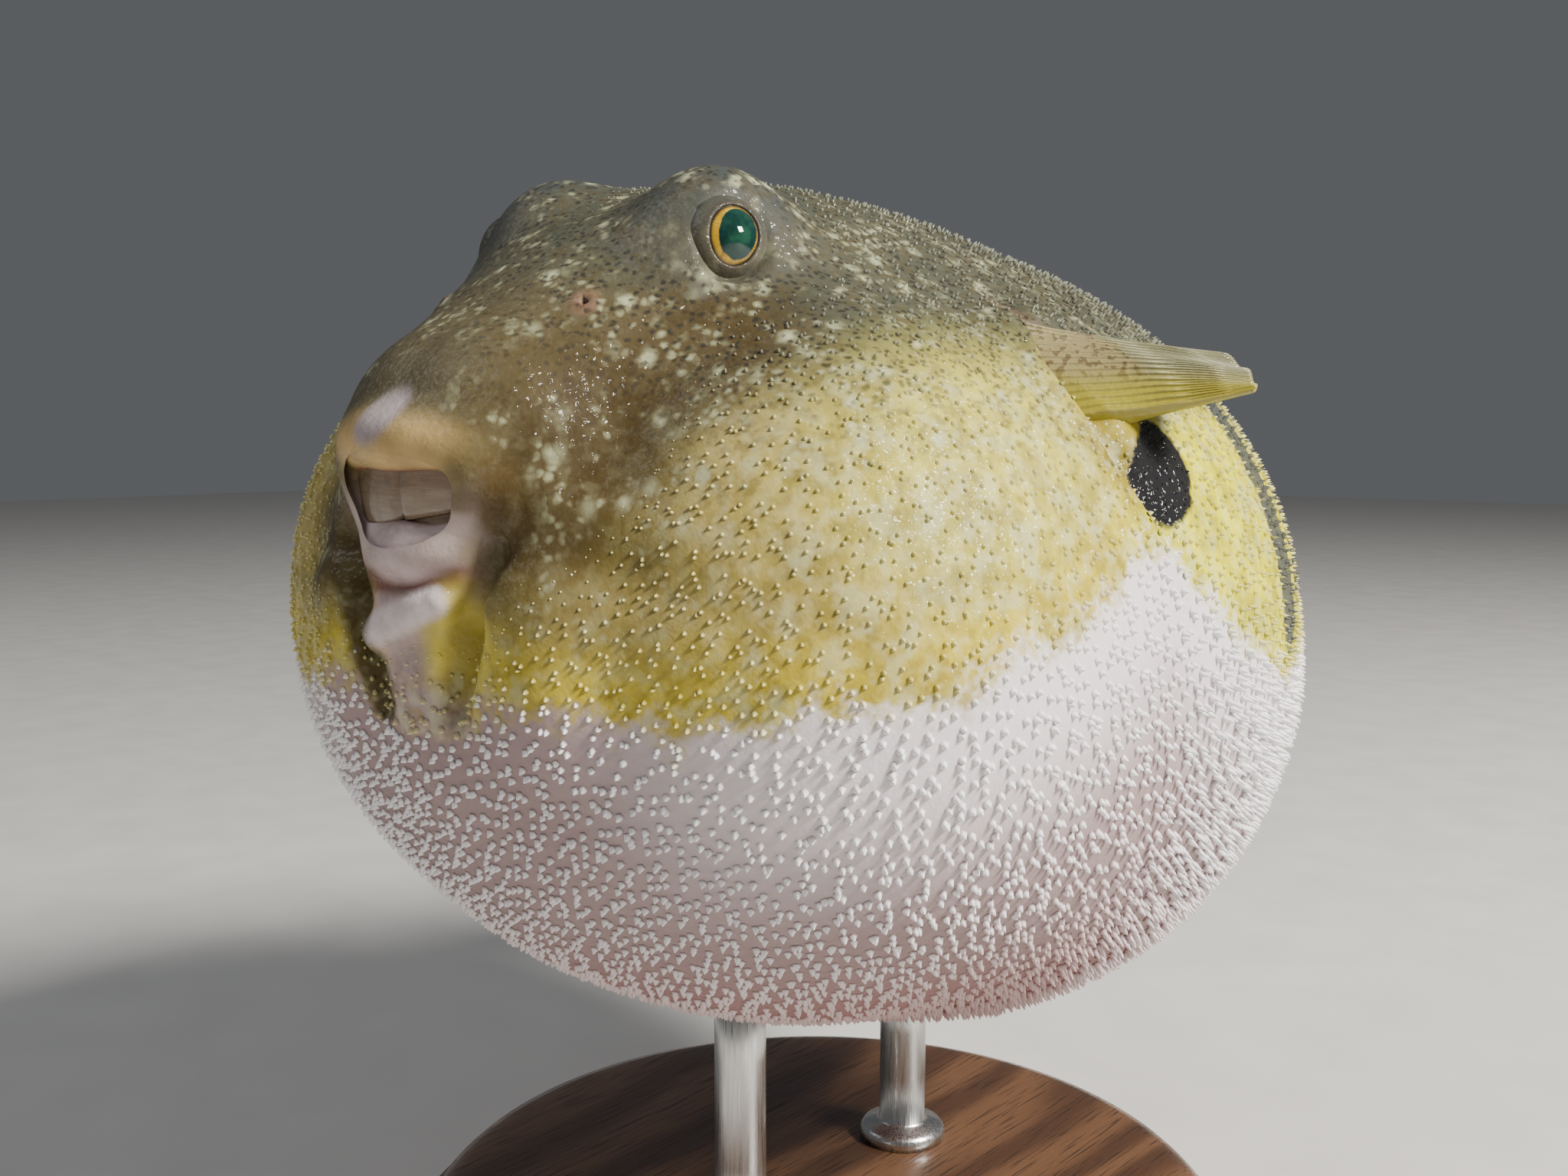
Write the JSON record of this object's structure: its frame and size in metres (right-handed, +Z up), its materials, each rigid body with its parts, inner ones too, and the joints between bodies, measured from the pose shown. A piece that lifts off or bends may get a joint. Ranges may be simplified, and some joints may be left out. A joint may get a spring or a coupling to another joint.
{
  "type": "inflated northern puffer fish model",
  "caption": "Life-size still model of an inflated northern puffer fish, round prickly belly, small beaked mouth and raised eyes, on a plain round display stand with two rods.",
  "frame": {"origin": "centre of the display stand's underside", "axes": "+Z up; the fish faces -Y and its tail runs towards +Y; its left side is +X"},
  "size_m": [0.1126, 0.177, 0.1292],
  "materials": {
    "head_skin": "wet, olive-brown with pale flecks",
    "back_skin": "wet, olive-grey with dark pepper spots, yellow on the flanks",
    "belly_skin": "wet white with a pink cast, covered in prickles",
    "chin_skin": "smooth wet lilac-pink",
    "nostril_skin": "smooth wet pink",
    "eye": "clear gloss over a golden ring and a green pupil",
    "beak": "smooth tooth plate",
    "fin_membrane": "wet, thin, rayed",
    "stand_base": "dark satin wood",
    "stand_rod": "brushed"
  },
  "bodies": {
    "root": {"head": "head_skin", "upper_jaw": "head_skin", "lower_jaw": "chin_skin", "back": "back_skin", "belly": "belly_skin", "tail": "back_skin", "caudal_fin": "fin_membrane", "dorsal_fin": "fin_membrane", "anal_fin": "fin_membrane", "pectoral_fin_left": "fin_membrane", "pectoral_fin_right": "fin_membrane", "eye_left": "eye", "eye_right": "eye", "beak_upper": "beak", "beak_lower": "beak", "nostril_left": "nostril_skin", "nostril_right": "nostril_skin", "stand_base": "stand_base", "stand_rod_front": "stand_rod", "stand_rod_rear": "stand_rod"}
  },
  "joints": []
}
